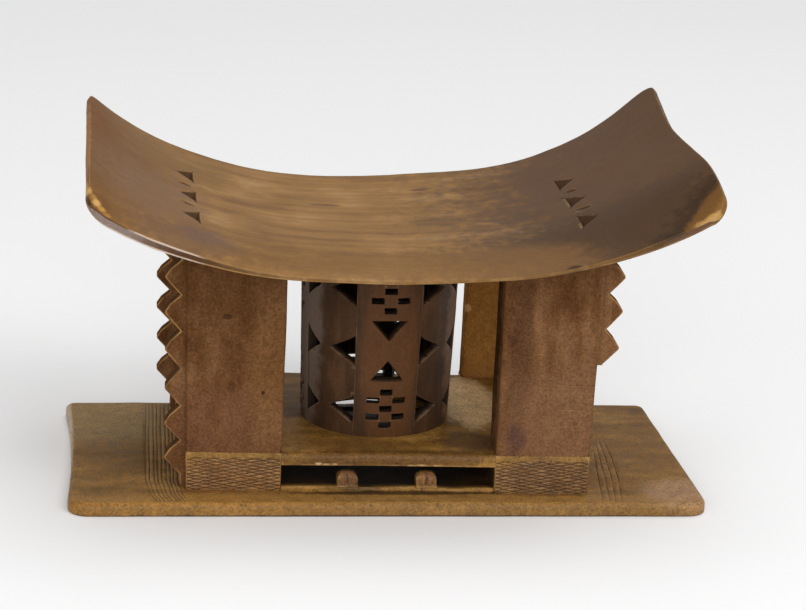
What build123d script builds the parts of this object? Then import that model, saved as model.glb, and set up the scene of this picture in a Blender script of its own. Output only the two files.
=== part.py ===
from build123d import *
import math
import os

# A low carved stool of the Asante kind: a long seat curved up at both ends, on four
# slab legs with toothed fins and a pierced hollow column, over a plinth and a base plate.
# Millimetres. X runs along the length, Y to the back, Z up. The origin is on the floor
# under the middle of the base plate. The members are carved from one log: each member is
# a solid of its own, and the solids meet face to face.

os.makedirs("parts", exist_ok=True)

# Base plate
BASE_LEFT = -250.0
BASE_RIGHT_BACK = 247.5
BASE_RIGHT_FRONT = 252.0
BASE_DEPTH = 240.0
BASE_THICKNESS = 11.0
BASE_END_HOLLOW = 4.5        # the left end is cut slightly hollow
BASE_FRONT_CORNER = 16.0
BASE_BACK_CORNER = 8.0
BASE_TOP_ROUNDING = 4.5
BASE_FOOT_ROUNDING = 1.5

# The stepped body above the plate was laid out a little askew by hand: its left end
# stands further back, and each leg is turned to match
BODY_SKEW = 0.03             # millimetres back for each millimetre to the left
BODY_FRONT = -94.0
BODY_BACK = 117.0
LEG_INNER_X = 83.7
LEG_OUTER_X = 158.0
DECK_TOP = 41.9
DECK_THICKNESS = 9.6
DECK_BACK = 109.5
DECK_EDGE_ROUNDING = 4.2
SLOT_CEILING = 35.5          # the deck is hollowed from below, between lips at its mouths
SLOT_LIP = 14.0
PLINTH_EDGE_ROUNDING = 1.2

# The low slot under the deck, with its sill and two knobs at the mouth
SILL_HEIGHT = 3.6
SILL_DEPTH = 9.0
KNOB_X = (-31.5, 30.5)
KNOB_WIDTH = 16.0
KNOB_HEIGHT = 15.0
KNOB_DEPTH = 13.0

# Legs
FRONT_LEG_DEPTH = 40.0
BACK_LEG_DEPTH = 17.5
LEG_SPREAD = 3.2             # how far the outer side leans out up to SPREAD_HEIGHT
SPREAD_HEIGHT = 214.0
LEG_EDGE_ROUNDING = 2.5
ABOVE_SEAT = 300.0           # blanks run up to here before the seat trims them

# Toothed fins on the outer sides of the legs
FIN_THICKNESS = 14.0
FIN_RECESS = 5.0             # set back from the legs' outward faces
BACK_FIN_THICKNESS = 11.0
BACK_FIN_RECESS = 3.0
FIN_STRIP = 4.5              # solid strip between the leg and the roots of the teeth
FIN_FOOT_LEDGE = 1.0         # least height of the strip below the lowest tooth
TOOTH_REACH = 17.0
TOOTH_TIP_ROUNDING = 2.6
TOOTH_HALF_HEIGHT = 13.8
TOOTH_SWELL = 1.8            # how far the middle of a tooth's upper edge bows out
LEFT_TEETH = (181.0, 153.0, 123.5, 92.0, 63.5, 35.5)
BACK_TEETH = (181.0, 153.5, 126.0, 99.0, 72.0, 44.5)
RIGHT_TEETH = (188.0, 160.0, 130.0)

# Hollow column with a pierced wall, in bands and, between them, stacks of discs
COLUMN_CENTRE = (-1.5, 6.0)
COLUMN_TURN = 2.0            # degrees about Z
COLUMN_FOOT_RADIUS = 59.5
COLUMN_HEAD_RADIUS = 64.5
COLUMN_HEAD_HEIGHT = 200.0
COLUMN_WALL = 8.0
WIDE_HALF_ANGLE = 24.5       # the plain bands at the front and back
NARROW_HALF_ANGLE = 18.5     # the plain bands at the sides
# Each band's side, direction and half angle; each field's side, and the wide band and turn to it
BANDS = (("front", 0, WIDE_HALF_ANGLE), ("right", 90, NARROW_HALF_ANGLE),
         ("back", 180, WIDE_HALF_ANGLE), ("left", 270, NARROW_HALF_ANGLE))
FIELDS = (("front_right", 0, 1), ("back_right", 180, -1), ("back_left", 180, 1), ("front_left", 0, -1))
DISC_RISE = 49.2
LOWEST_NECK = 63.5           # heights where the discs touch: this one and two more
NECK_COUNT = 3
NECK_ANGLE = 50.5            # from the middle of the wide band beside it
NECK_HALF_WIDTH = 5.7        # solid neck left where two discs touch
GAP_HALF_HEIGHT = 12.8       # of the three-sided gaps between discs, along the band's edge
GAP_TIP_HALF_HEIGHT = 0.8
GAP_BOW = 0.25               # share by which a gap's slanted edges bow into it
GAP_OVERRUN = 3.0            # a gap's outline runs on past the edge of the band that ends it
GAP_STEPS = 4                # straight pieces along each slanted edge
CHECK_WIDTH = 10.2
CHECK_HEIGHT = 5.2
LOWER_CHECK_START = 52.3
LOWER_CHECK_STEP = 6.9
UPPER_CHECK_START = 147.5
UPPER_CHECK_STEP = 8.0
CHECK_ROWS = 5
TRIANGLE_WIDTH = 34.5
TRIANGLE_TAPER = 12.0        # degrees, narrowing inwards
UPPER_TRIANGLE = (140.2, 120.6)   # base height, apex height
LOWER_TRIANGLE = (87.3, 108.2)
CUT_START = 66.5             # piercings are cut from this radius inwards
CUT_DEPTH = 26.0

# Seat
SEAT_TILT = -0.95            # degrees about Y: the left end sits a little lower
SEAT_TILT_HEIGHT = 205.0
SEAT_FRONT_CORNER = 18.0
SEAT_BACK_CORNER = 10.0
SEAT_TRIM = 0.5              # taken off the front and back edges where the corners are rounded
# Places along X where each cross section states its height and thickness, between its ends
STATIONS = (-200.0, -150.0, -100.0, -50.0, 0.0, 50.0, 100.0, 150.0, 200.0)
# Cross sections from back to front: place in Y, left end, right end, then the heights of
# the top and the thicknesses at the left end, the stations and the right end
SEAT_SECTIONS = (
    (130.0, -231.0, 237.0,
     (279.5, 255.8, 230.6, 216.4, 210.2, 209.5, 211.9, 216.8, 230.6, 258.0, 292.0),
     (7.5, 8.5, 9.0, 9.0, 9.0, 9.0, 9.0, 9.0, 9.0, 8.5, 7.5)),
    (20.0, -233.0, 231.5,
     (274.6, 251.6, 227.7, 213.9, 208.2, 206.6, 208.3, 214.0, 228.6, 254.6, 278.6),
     (7.5, 9.0, 10.5, 10.5, 10.5, 10.5, 10.5, 10.5, 10.5, 9.0, 7.5)),
    (-95.0, -234.5, 238.5,
     (268.0, 246.2, 224.6, 212.1, 207.0, 205.5, 207.1, 212.2, 225.2, 248.4, 274.0),
     (7.5, 9.0, 10.5, 10.5, 10.5, 10.5, 10.5, 10.5, 10.5, 9.0, 7.5)),
    (-128.0, -235.5, 242.0,
     (259.6, 239.4, 219.4, 207.4, 202.9, 201.6, 202.8, 206.9, 217.9, 237.8, 261.0),
     (7.5, 8.5, 8.5, 8.0, 8.0, 8.0, 8.0, 8.0, 8.5, 8.5, 7.5)),
    (-143.0, -236.0, 243.0,
     (254.2, 234.8, 215.2, 202.9, 198.4, 196.6, 198.2, 201.6, 212.0, 230.3, 252.4),
     (7.5, 7.5, 5.8, 3.4, 3.0, 3.0, 3.0, 3.4, 4.6, 7.5, 7.5)),
)
# Places of the cross sections the board is lofted through, on smooth lines between those
LOFT_PLACES = (130.0, 102.0, 74.0, 46.0, 18.0, -10.0, -38.0, -66.0, -92.0, -114.0, -130.0, -143.0)

# Chip-carved marks on the seat: rows of triangles with short bars between them
MARK_DEPTH = 3.4
MARK_BASE = 29.0
MARK_LENGTH = 14.5
BAR_LENGTH = 10.5
BAR_WIDTH = 2.0
# Each row: place of the triangles' bases, first triangle's middle, step to the next
MARK_ROWS = ((-150.5, 47.5, 57.0), (142.5, 31.5, 52.5))


def smooth_value(place, places, values):
    """Value at a place, on a smooth curve through stated values at falling places."""
    slopes = []
    for i in range(len(places)):
        before, after = max(i - 1, 0), min(i + 1, len(places) - 1)
        slopes.append((values[after] - values[before]) / (places[after] - places[before]))
    i = max(k for k in range(len(places) - 1) if place <= places[k])
    span = places[i + 1] - places[i]
    share = (place - places[i]) / span
    start = (1 + 2 * share) * (1 - share) ** 2 * values[i]
    end = share ** 2 * (3 - 2 * share) * values[i + 1]
    bend = span * share * (1 - share) * ((1 - share) * slopes[i] - share * slopes[i + 1])
    return start + end + bend


def section_at(y):
    """A cross section at a place, blended from the stated ones."""
    places = [section[0] for section in SEAT_SECTIONS]
    left, right = [smooth_value(y, places, [s[k] for s in SEAT_SECTIONS]) for k in (1, 2)]
    heights, thicknesses = [
        [smooth_value(y, places, [s[k][i] for s in SEAT_SECTIONS]) for i in range(len(STATIONS) + 2)]
        for k in (3, 4)]
    return y, left, right, heights, thicknesses


def section_lines(section):
    """Top and underside points of one seat section, from left to right."""
    y, left, right, heights, thicknesses = section
    places = (left, *STATIONS, right)
    top = []
    under = []
    for i, (x, height, thickness) in enumerate(zip(places, heights, thicknesses)):
        before, after = max(i - 1, 0), min(i + 1, len(places) - 1)
        lean = math.atan2(heights[after] - heights[before], places[after] - places[before])
        top.append((x, y, height))
        under.append((x + thickness * math.sin(lean), y, height - thickness * math.cos(lean)))
    return top, under


def tilted(shape):
    """Tilt a shape about the seat's long middle line."""
    lift = Pos(0, 0, SEAT_TILT_HEIGHT)
    return lift * Rot(0, SEAT_TILT, 0) * Pos(0, 0, -SEAT_TILT_HEIGHT) * shape


def seat_blank():
    """The curved board between the top and underside lines."""
    faces = []
    for y in LOFT_PLACES:
        top, under = section_lines(section_at(y))
        outline = [Spline(top), Line(top[-1], under[-1]),
                   Spline(under[::-1]), Line(under[0], top[0])]
        faces.append(make_face(outline))
    return loft(faces)


def below_seat(blank, board):
    """The lower part of a tall blank that the seat's board cuts in two."""
    return (blank - board).solids().sort_by(Axis.Z)[0]


def seat_plan():
    """A tall prism with the seat's rounded corners in plan."""
    back_y, front_y = SEAT_SECTIONS[0][0] - SEAT_TRIM, SEAT_SECTIONS[-1][0] + SEAT_TRIM
    back_left, back_right = [section_lines(SEAT_SECTIONS[0])[1][i][0] for i in (0, -1)]
    front_left, front_right = [section_lines(SEAT_SECTIONS[-1])[1][i][0] for i in (0, -1)]
    plan = make_face(Polyline([(back_left, back_y), (front_left, front_y),
                               (front_right, front_y), (back_right, back_y)], close=True))
    plan = fillet(plan.vertices().group_by(Axis.Y)[0], SEAT_FRONT_CORNER)
    plan = fillet(plan.vertices().group_by(Axis.Y)[-1], SEAT_BACK_CORNER)
    return extrude(plan, ABOVE_SEAT)


def seat_height(x, y):
    """Height of the seat's top at a place."""
    top = section_lines(section_at(y))[0]
    for left, right in zip(top, top[1:]):
        if x <= right[0]:
            return left[2] + (x - left[0]) / (right[0] - left[0]) * (right[2] - left[2])
    return top[-1][2]


def seat_marks():
    """Cutters for the two rows of triangles and bars."""
    cutters = []
    for mark_x, start_y, step in MARK_ROWS:
        side = math.copysign(1, mark_x)
        for i in range(3):
            y = start_y - step * i
            floor = seat_height(mark_x, y) - MARK_DEPTH
            triangle = Polyline([(mark_x, y - MARK_BASE / 2), (mark_x, y + MARK_BASE / 2),
                                 (mark_x + side * MARK_LENGTH, y)], close=True)
            cutters.append(Pos(0, 0, floor) * extrude(make_face(triangle), ABOVE_SEAT))
        for i in range(2):
            y = start_y - step * (i + 0.5)
            middle = mark_x + side * MARK_LENGTH / 2
            floor = seat_height(middle, y) - MARK_DEPTH / 2
            bar = Rectangle(BAR_LENGTH, BAR_WIDTH)
            cutters.append(Pos(middle, y, floor) * extrude(bar, ABOVE_SEAT))
    return cutters


def seat():
    board = seat_blank()
    for cutter in seat_marks():
        board = board - cutter
    return tilted(board & seat_plan())


def base_plate():
    front, back = -BASE_DEPTH / 2, BASE_DEPTH / 2
    outline = [ThreePointArc((BASE_LEFT, back), (BASE_LEFT + BASE_END_HOLLOW, 0), (BASE_LEFT, front)),
               Line((BASE_LEFT, front), (BASE_RIGHT_FRONT, front)),
               Line((BASE_RIGHT_FRONT, front), (BASE_RIGHT_BACK, back)),
               Line((BASE_RIGHT_BACK, back), (BASE_LEFT, back))]
    plan = make_face(outline)
    plan = fillet(plan.vertices().group_by(Axis.Y)[0], BASE_FRONT_CORNER)
    plan = fillet(plan.vertices().group_by(Axis.Y)[-1], BASE_BACK_CORNER)
    plate = extrude(plan, BASE_THICKNESS)
    plate = fillet(plate.edges().group_by(Axis.Z)[-1], BASE_TOP_ROUNDING)
    return fillet(plate.edges().group_by(Axis.Z)[0], BASE_FOOT_ROUNDING)


def block(x0, x1, y0, y1, z0, z1):
    """A block whose front and back faces follow the body's skew."""
    corners = [(x0, y0), (x1, y0), (x1, y1), (x0, y1)]
    plan = make_face(Polyline([(x, y - BODY_SKEW * x, z0) for x, y in corners], close=True))
    return extrude(plan, z1 - z0, dir=(0, 0, 1))


def plinth(side):
    x0, x1 = sorted((side * LEG_INNER_X, side * LEG_OUTER_X))
    blank = block(x0, x1, BODY_FRONT, BODY_BACK, BASE_THICKNESS, DECK_TOP)
    return fillet(blank.edges().filter_by(Axis.Z), PLINTH_EDGE_ROUNDING)


def deck():
    slab = block(-LEG_INNER_X, LEG_INNER_X, BODY_FRONT, DECK_BACK,
                 DECK_TOP - DECK_THICKNESS, DECK_TOP)
    top_edges = slab.edges().group_by(Axis.Z)[-1]
    front_top, back_top = top_edges.sort_by(Axis.Y)[0], top_edges.sort_by(Axis.Y)[-1]
    back_foot = slab.edges().group_by(Axis.Z)[0].sort_by(Axis.Y)[-1]
    slab = fillet([front_top, back_top, back_foot], DECK_EDGE_ROUNDING)
    hollowing = block(-LEG_INNER_X, LEG_INNER_X, BODY_FRONT + SLOT_LIP, DECK_BACK - SLOT_LIP,
                      BASE_THICKNESS, SLOT_CEILING)
    shaft = Pos(*COLUMN_CENTRE, DECK_TOP) * Cylinder(COLUMN_FOOT_RADIUS - COLUMN_WALL, 2 * DECK_TOP)
    return slab - hollowing - shaft


def slot_knobs(mouth_y, inward):
    """A low sill across the slot's mouth with two stub knobs on it."""
    y0, y1 = sorted((mouth_y, mouth_y + inward * SILL_DEPTH))
    sill_top = BASE_THICKNESS + SILL_HEIGHT
    rail = block(-LEG_INNER_X, LEG_INNER_X, y0, y1, BASE_THICKNESS, sill_top)
    for x in KNOB_X:
        y0, y1 = sorted((mouth_y + inward, mouth_y + inward * KNOB_DEPTH))
        knob = block(x - KNOB_WIDTH / 2, x + KNOB_WIDTH / 2, y0, y1,
                     BASE_THICKNESS, sill_top + KNOB_HEIGHT - SILL_HEIGHT)
        knob = chamfer(knob.edges().group_by(Axis.Z)[-1], SILL_HEIGHT)
        rail = rail + knob
    return rail


def leg_side_x(z):
    """Distance of a leg's outer side from the middle at a height."""
    share = max(0.0, (z - DECK_TOP) / (SPREAD_HEIGHT - DECK_TOP))
    return LEG_OUTER_X + LEG_SPREAD * share


def turned(shape, side, y):
    """Set a leg, or its fin, back along the body's skew and turn it to match."""
    x = side * (LEG_INNER_X + LEG_OUTER_X) / 2
    turn = -math.degrees(math.atan(BODY_SKEW))
    return Pos(x, y - BODY_SKEW * x, 0) * Rot(0, 0, turn) * Pos(-x, -y, 0) * shape


def leg(side, y0, y1, board):
    outline = [(LEG_INNER_X, DECK_TOP), (LEG_OUTER_X, DECK_TOP),
               (leg_side_x(ABOVE_SEAT), ABOVE_SEAT), (LEG_INNER_X, ABOVE_SEAT)]
    face = make_face(Polyline([(side * x, y0, z) for x, z in outline], close=True))
    blank = extrude(face, y1 - y0, dir=(0, 1, 0))
    upright = blank.edges().filter_by(lambda e: abs(e.tangent_at(0.5).Z) > 0.9)
    blank = fillet(upright, LEG_EDGE_ROUNDING)
    return below_seat(turned(blank, side, y0), board)


def fin(side, tips, foot, y0, y1, leg_face_y, board):
    """A strip on the leg's outer side with a row of outward-pointing teeth."""
    outline = [(leg_side_x(ABOVE_SEAT), ABOVE_SEAT), (LEG_OUTER_X, DECK_TOP)]
    if foot < DECK_TOP:
        outline += [(LEG_OUTER_X, foot)]
    else:
        outline[-1] = (leg_side_x(foot), foot)
    outline += [(leg_side_x(foot) + FIN_STRIP, foot)]
    lower = None
    for tip in reversed(tips):
        if lower is None:
            outline += [(leg_side_x(tip) + FIN_STRIP, max(tip - TOOTH_HALF_HEIGHT, foot + FIN_FOOT_LEDGE))]
        else:
            valley = (lower + tip) / 2
            outline += [(leg_side_x(valley) + FIN_STRIP, valley)]
        middle = tip + TOOTH_HALF_HEIGHT / 2
        outline += [(leg_side_x(tip) + TOOTH_REACH, tip),
                    (leg_side_x(tip) + (TOOTH_REACH + FIN_STRIP) / 2 + TOOTH_SWELL, middle)]
        lower = tip
    outline += [(leg_side_x(lower) + FIN_STRIP, lower + TOOTH_HALF_HEIGHT),
                (leg_side_x(ABOVE_SEAT) + FIN_STRIP, ABOVE_SEAT)]
    face = make_face(Polyline([(side * x, y0, z) for x, z in outline], close=True))
    blank = extrude(face, y1 - y0, dir=(0, 1, 0))
    reach = [e for e in blank.edges().filter_by(Axis.Y)
             if any(abs(e.center().Z - tip) < 0.5 and abs(e.center().X) > LEG_OUTER_X + 2 * FIN_STRIP
                    for tip in tips)]
    blank = fillet(reach, TOOTH_TIP_ROUNDING)
    return below_seat(turned(blank, side, leg_face_y), board) - plinth(side)


def radial_cutter(angle, outline, taper=0.0):
    """A cut through the column's wall, from (across, height) points, facing an angle."""
    face = make_face(Polyline([(across, -CUT_START, z) for across, z in outline], close=True))
    return Rot(0, 0, angle) * extrude(face, CUT_DEPTH, dir=(0, 1, 0), taper=taper)


def rectangle_points(across, z, width, height):
    w, h = width / 2, height / 2
    return [(across - w, z - h), (across + w, z - h), (across + w, z + h), (across - w, z + h)]


def band_cutters(angle, half_angle):
    """Piercings of one plain band: two checker patches and two triangles, as wide as it allows."""
    share = half_angle / WIDE_HALF_ANGLE
    width = CHECK_WIDTH * share
    cutters = []
    for start, step in ((LOWER_CHECK_START, LOWER_CHECK_STEP), (UPPER_CHECK_START, UPPER_CHECK_STEP)):
        for row in range(CHECK_ROWS):
            places = (-width, width) if row % 2 else (0.0,)
            for across in places:
                check = rectangle_points(across, start + step * row, width, CHECK_HEIGHT)
                cutters.append(radial_cutter(angle, check))
    half = TRIANGLE_WIDTH * share / 2
    for base, apex in (UPPER_TRIANGLE, LOWER_TRIANGLE):
        triangle = [(-half, base), (half, base), (0, apex)]
        cutters.append(radial_cutter(angle, triangle, TRIANGLE_TAPER))
    return cutters


def gap_outline(height, towards, edge):
    """A three-sided gap: its tip at the neck between two discs, its upright side at a band's edge."""
    points = []
    for sign in (1, -1):
        side = []
        for i in range(GAP_STEPS + 1):
            across = NECK_HALF_WIDTH + (edge + GAP_OVERRUN - NECK_HALF_WIDTH) * i / GAP_STEPS
            share = (across - NECK_HALF_WIDTH) / (edge - NECK_HALF_WIDTH)
            rise = GAP_TIP_HALF_HEIGHT
            rise += (GAP_HALF_HEIGHT - GAP_TIP_HALF_HEIGHT) * share * (1 + GAP_BOW * (share - 1))
            side.append((towards * across, height + sign * rise))
        points += side if sign > 0 else side[::-1]
    return points


def field_gaps(band_angle, turn):
    """Cutters for the gaps between the discs of one field, beside a wide band."""
    radius = (COLUMN_FOOT_RADIUS + COLUMN_HEAD_RADIUS) / 2
    neck_angle = band_angle + turn * NECK_ANGLE
    wide_edge = radius * math.sin(math.radians(NECK_ANGLE - WIDE_HALF_ANGLE))
    narrow_edge = radius * math.sin(math.radians(90 - NARROW_HALF_ANGLE - NECK_ANGLE))
    cutters = []
    for i in range(NECK_COUNT):
        height = LOWEST_NECK + DISC_RISE * i
        for towards, edge in ((-turn, wide_edge), (turn, narrow_edge)):
            cutters.append(radial_cutter(neck_angle, gap_outline(height, towards, edge)))
    return cutters


def sector(angle, half_angle, z0, z1):
    """A tall wedge from the column's axis over a stretch of directions and heights."""
    reach = 2 * COLUMN_HEAD_RADIUS
    turns = [math.radians(angle - half_angle), math.radians(angle + half_angle)]
    corners = [(0, 0, z0)] + [(reach * math.sin(t), -reach * math.cos(t), z0) for t in turns]
    return extrude(make_face(Polyline(corners, close=True)), z1 - z0, dir=(0, 0, 1))


def column_wall():
    """The plain hollow wall, a little wider at its head."""
    height = SPREAD_HEIGHT - DECK_TOP
    growth = (COLUMN_HEAD_RADIUS - COLUMN_FOOT_RADIUS) / (COLUMN_HEAD_HEIGHT - DECK_TOP)
    head = COLUMN_FOOT_RADIUS + growth * height
    middle = Pos(0, 0, DECK_TOP + height / 2)
    tube = middle * Cone(COLUMN_FOOT_RADIUS, head, height)
    return tube - middle * Cone(COLUMN_FOOT_RADIUS - COLUMN_WALL, head - COLUMN_WALL, height)


def column_members(board):
    """Four pierced bands, and a stack of discs in each field between them."""
    wall = column_wall()
    place = Pos(*COLUMN_CENTRE, 0) * Rot(0, 0, COLUMN_TURN)
    found = {}
    for side, angle, half_angle in BANDS:
        band = wall & sector(angle, half_angle, DECK_TOP, SPREAD_HEIGHT)
        found[f"column_{side}_band"] = below_seat(place * (band - band_cutters(angle, half_angle)), board)
    levels = [DECK_TOP, *[LOWEST_NECK + DISC_RISE * i for i in range(NECK_COUNT)], SPREAD_HEIGHT]
    field_half = (90 - WIDE_HALF_ANGLE - NARROW_HALF_ANGLE) / 2
    for side, band_angle, turn in FIELDS:
        gaps = field_gaps(band_angle, turn)
        middle = band_angle + turn * (WIDE_HALF_ANGLE + field_half)
        for i, (z0, z1) in enumerate(zip(levels, levels[1:])):
            disc = wall & sector(middle, field_half, z0, z1)
            found[f"column_{side}_disc_{i + 1}"] = below_seat(place * (disc - gaps), board)
    return found


def members():
    """Every member of the stool by its name."""
    board = tilted(seat_blank())
    front = (BODY_FRONT, BODY_FRONT + FRONT_LEG_DEPTH)
    back = (BODY_BACK - BACK_LEG_DEPTH, BODY_BACK)
    front_fin = (BODY_FRONT + FIN_RECESS, BODY_FRONT + FIN_RECESS + FIN_THICKNESS, BODY_FRONT)
    back_fin = (BODY_BACK - BACK_FIN_RECESS - BACK_FIN_THICKNESS, BODY_BACK - BACK_FIN_RECESS,
                BODY_BACK - BACK_LEG_DEPTH)
    short_foot = RIGHT_TEETH[-1] - TOOTH_HALF_HEIGHT
    return {
        "base_plate": base_plate(),
        "left_plinth": plinth(-1),
        "right_plinth": plinth(1),
        "deck": deck(),
        "front_slot_knobs": slot_knobs(BODY_FRONT, 1),
        "back_slot_knobs": slot_knobs(DECK_BACK, -1),
        "front_left_leg": leg(-1, *front, board),
        "front_right_leg": leg(1, *front, board),
        "back_left_leg": leg(-1, *back, board),
        "back_right_leg": leg(1, *back, board),
        "front_left_fin": fin(-1, LEFT_TEETH, BASE_THICKNESS, *front_fin, board),
        "front_right_fin": fin(1, RIGHT_TEETH, short_foot, *front_fin, board),
        "back_left_fin": fin(-1, BACK_TEETH, BASE_THICKNESS, *back_fin, board),
        "back_right_fin": fin(1, BACK_TEETH, BASE_THICKNESS, *back_fin, board),
        "seat": seat(),
        **column_members(board),
    }


for name, member in members().items():
    export_step(member, f"parts/{name}.step")
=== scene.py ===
"""Dresses the carved stool: hand-cut members, pierced column, incised plate and worn oiled wood."""

import math

import bmesh
import bpy
from mathutils import Matrix, Vector, noise
from mathutils.bvhtree import BVHTree


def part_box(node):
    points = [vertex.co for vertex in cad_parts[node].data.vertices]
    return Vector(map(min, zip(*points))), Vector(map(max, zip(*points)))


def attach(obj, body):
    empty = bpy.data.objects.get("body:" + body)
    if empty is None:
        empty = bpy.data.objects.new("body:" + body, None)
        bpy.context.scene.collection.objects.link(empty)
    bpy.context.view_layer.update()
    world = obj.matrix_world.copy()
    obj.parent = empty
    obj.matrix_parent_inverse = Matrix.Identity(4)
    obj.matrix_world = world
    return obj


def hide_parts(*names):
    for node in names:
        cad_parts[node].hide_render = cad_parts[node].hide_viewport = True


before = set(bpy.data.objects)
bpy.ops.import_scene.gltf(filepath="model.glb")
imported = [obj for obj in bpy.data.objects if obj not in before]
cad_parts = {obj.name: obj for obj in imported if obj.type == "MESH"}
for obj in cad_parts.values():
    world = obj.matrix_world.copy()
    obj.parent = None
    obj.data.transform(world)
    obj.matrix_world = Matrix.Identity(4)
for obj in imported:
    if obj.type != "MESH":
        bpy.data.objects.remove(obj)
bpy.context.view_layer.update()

MM = 0.001
X, Y, Z = Vector((1, 0, 0)), Vector((0, 1, 0)), Vector((0, 0, 1))

# Camera: place in metres, angles in degrees, lens and sensor in millimetres
CAMERA_PLACE = (-0.2611, -2.0822, 0.7683)
CAMERA_YAW = 7.625
CAMERA_PITCH = 16.766
CAMERA_ROLL = -2.778
CAMERA_LENS = 121.98
CAMERA_SENSOR = 36

# Studio: half the floor's side in metres, then each lamp's name, place and size in metres, and power in watts
FLOOR_HALF = 12
LAMPS = (
    ("key", (2.2, -3, 3.9), 3.4, 100),
    ("fill", (-3.6, -3.6, 2), 2.4, 40),
    ("front", (-0.5, -3.4, 1.3), 1.6, 42),
    ("overhead", (0.8, 1.1, 5), 4, 84),
)
SKY_STRENGTH = 0.45

# Hand carving: how far surfaces drift from true, over long and short stretches
DRIFT = 0.55 * MM
DRIFT_LENGTH = 55 * MM
RIPPLE = 0.14 * MM
RIPPLE_LENGTH = 13 * MM
FOOT_HEIGHT = 8 * MM         # below this the drift fades, so that the plate stands flat
DRIFT_SEED = 1
noise.seed_set(DRIFT_SEED)   # otherwise the drift differs from run to run

# Meshes
WELD = 0.004 * MM            # vertices of a CAD mesh nearer than this are one
FLAT_ANGLE = math.radians(0.7)   # its faces that turn by less than this are one face
SHARP_ANGLE = math.radians(32)
SQUARE_ANGLE = 1             # in radians: the edges of a square board turn by more than this
TOUCHING = 0.3 * MM          # members nearer than this meet, and keep a crisp corner there
ON_A_CUT = 1e-7              # in metres: a vertex nearer than this to a cut lies on it
FAR_OFF = 1                  # in metres: rays start at this distance, outside the stool
MOSTLY = 0.5                 # a face looks mostly up, or out, if its normal has more than this share of it
SAME_PLANE = 0.99            # cosine of the most that faces of one plane differ by
LEVEL = 0.9999               # a face is level if its normal's Z is more than this

# Straight members
MEMBER_CELL = 5 * MM         # spacing of the cuts that let a flat face drift
FIN_CELL = 4 * MM
LEG_ROUNDING = 0.8 * MM
DECK_ROUNDING = 2.2 * MM

# Grooves
GROOVE_RIM = 0.1             # a rim reaches past its groove by this share of half the groove's width
RIM_DEPTH = 0.01             # depth noted on a rim, so that the finish can tell it from an edge
GROOVE_RIM_TURN = 0.41           # rims count as no sharper than this, in radians, so they are lightened only a little, as wear and painted highlight

# Seat
SEAT_CELL = 4 * MM
SEAT_BOARD = 9 * MM          # thickness of the flat board before it is bent
SEAT_RIM_ABOVE = 1.3 * MM    # rounding of the rim, nearly crisp above and well rounded below
SEAT_RIM_BELOW = 4 * MM
RIM_SEGMENTS = 4
SEAT_FRONT_CORNER = 18 * MM  # the CAD seat's corners
SEAT_BACK_CORNER = 10 * MM
CORNER_SEGMENTS = 8
# Roundings of the board's corners: side, whether in front, radius
SEAT_CORNERS = ((-1, True, 18 * MM), (1, True, 15 * MM), (-1, False, 8 * MM), (1, False, 19 * MM))
SEAT_INSET = 0.4 * MM        # heights are read this far in from the board's edges
SURELY_SEAT = 150 * MM       # the board reaches further than this to both sides, and less than twice as far
HALVINGS = 24                # steps to find its ends
# Stretches of the top along X that hold the chip-carved marks
MARK_BANDS = ((-168 * MM, -147 * MM), (139.5 * MM, 160 * MM))
# Rows of marks: side, place of the bases, middle of the first triangle, step to the next
MARK_ROWS = ((-1, -150.5 * MM, 47.5 * MM, 57 * MM), (1, 142.5 * MM, 31.5 * MM, 52.5 * MM))
MARK_COUNT = 3               # triangles in a row, with a bar between each two
MARK_BASE = 29 * MM
MARK_LENGTH = 14.5 * MM
MARK_DEPTH = 5.5 * MM
MARK_BOTTOM = 0.28           # deepest point, as a share of the length from the base
PIT_DARKENING = 5            # the pits turn dark close to their rims, as painted shade
BAR_LENGTH = 3 * MM
BAR_WIDTH = 6.5 * MM
BAR_DEPTH = 2.6 * MM

# Column
COLUMN_CELL = 3 * MM
PIERCED_ROUNDING = 0.5 * MM
BANDS = ("front", "right", "back", "left")
FIELDS = ("front_right", "back_right", "back_left", "front_left")
DISCS = (1, 2, 3, 4)

# Incised lines on the base plate, in millimetres. At the left their number, then for places from back to
# front the X of the outermost and the innermost line, and Y. At the right the X and Y of each line's points
LEFT_LINES = 9
LEFT_LINES_RUN = ((-183, -157, 108), (-187.5, -163, -68), (-184.5, -160, -100), (-179, -155, -118.5))
RIGHT_LINES = (
    ((182, -2), (178, -30), (173.5, -62), (168, -110)),
    ((187, 13), (183.5, -20), (179, -62), (173, -118)),
    ((191, 20), (189, -15), (184.5, -62), (177.5, -118)),
    ((195, 24), (194, -15), (190, -62), (182.5, -118)),
)
LINE_WIDTH = 1.2 * MM
LINE_DEPTH = 0.6 * MM
LINE_DARKNESS = 0.42
LINE_SPREAD = 1.1            # how far a line strays from its even place, in millimetres
LINE_SPREAD_LENGTH = 90      # and over what length
LINE_APART = 1.7             # step through the noise from line to line, so that each strays its own way
PLATE_ROUNDING = 2.2 * MM
PLATE_SEGMENTS = 3

# Net of crossing grooves on the front faces of the plinths
NET_PITCH = 2.9 * MM
NET_SLOPE = 0.2
NET_WIDTH = 1.2 * MM
NET_DEPTH = 0.6 * MM
NET_DARKNESS = 0.6
NET_TOP_MARGIN = 4.5 * MM
NET_BENDS = 3                # each groove wanders, as if cut in this many strokes
NET_WANDER = 1.1 * MM
NET_WANDER_LENGTH = 6 * MM
NET_APART = 9                # keeps the wander of the two directions different

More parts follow.
